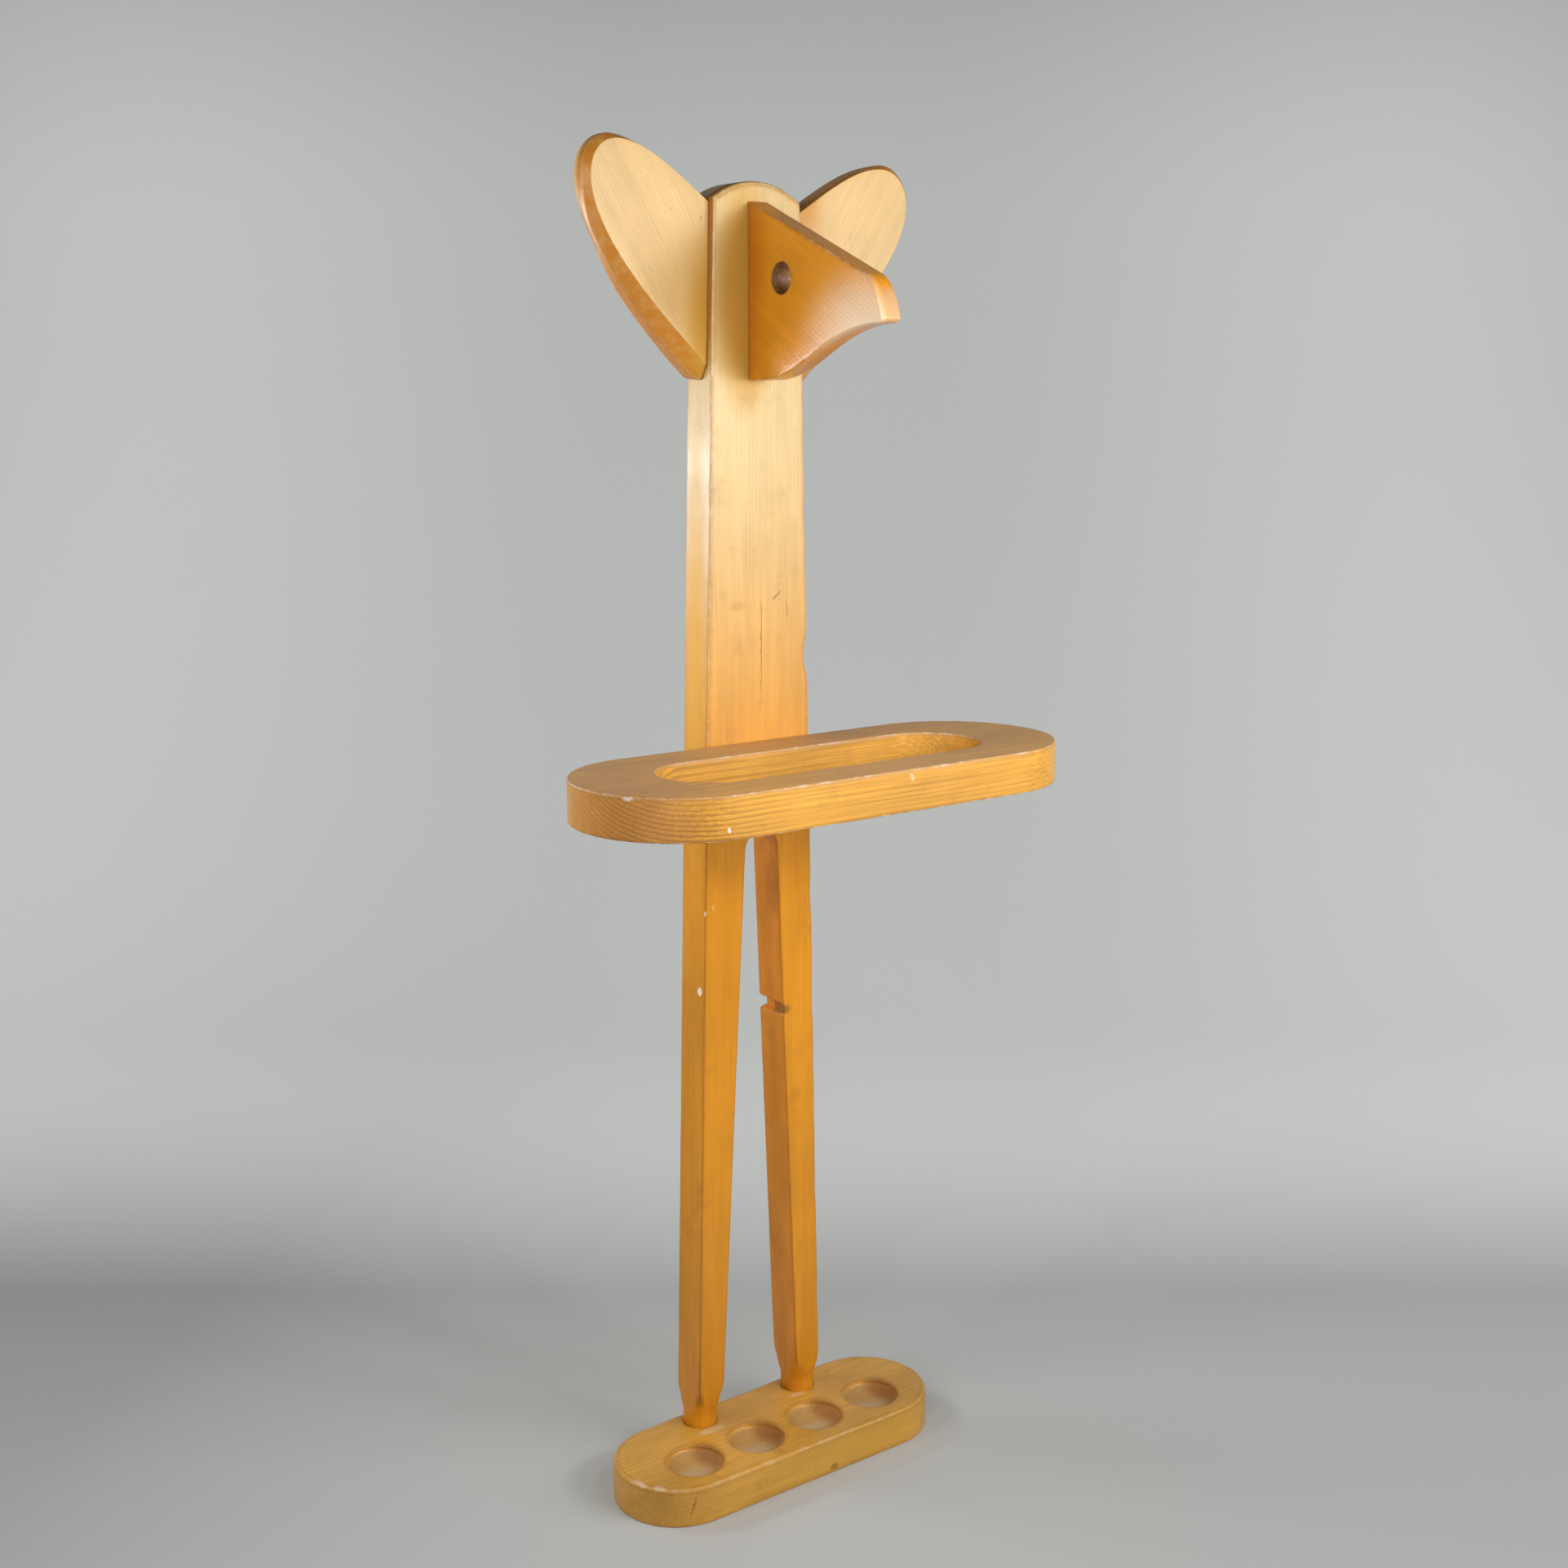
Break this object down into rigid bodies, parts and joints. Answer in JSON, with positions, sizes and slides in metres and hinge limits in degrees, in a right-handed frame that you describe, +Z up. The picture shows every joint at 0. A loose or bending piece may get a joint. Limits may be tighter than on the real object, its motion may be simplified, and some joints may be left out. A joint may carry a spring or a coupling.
{
  "type": "umbrella stand",
  "caption": "Wooden umbrella stand shaped as a standing bird: upright board with legs, wings and beak, a slotted holder ring and a base plate with tip cups.",
  "frame": {"origin": "on the floor, midway between the legs, in the plane of the upright board's front face", "axes": "+Z up along the board, -Y is the way the beak points, +X to the right of someone who faces the beak"},
  "size_m": [0.322, 0.1495, 0.803],
  "materials": {
    "board_pine": "amber satin varnish over straight-grained pine",
    "base_pine": "amber satin varnish over straight-grained pine",
    "ring_pine": "amber satin varnish over straight-grained pine",
    "wing_pine": "amber satin varnish over straight-grained pine",
    "beak_pine": "amber satin varnish over straight-grained pine",
    "dowel_beech": "bare beech",
    "screw_steel": "dull zinc-plated steel"
  },
  "bodies": {
    "root": {"post_board": "board_pine", "base_plate": "base_pine", "umbrella_ring": "ring_pine", "left_wing": "wing_pine", "right_wing": "wing_pine", "beak": "beak_pine", "beak_dowels": "dowel_beech", "left_wing_dowels": "dowel_beech", "right_wing_dowels": "dowel_beech", "ring_screws": "screw_steel"}
  },
  "joints": []
}
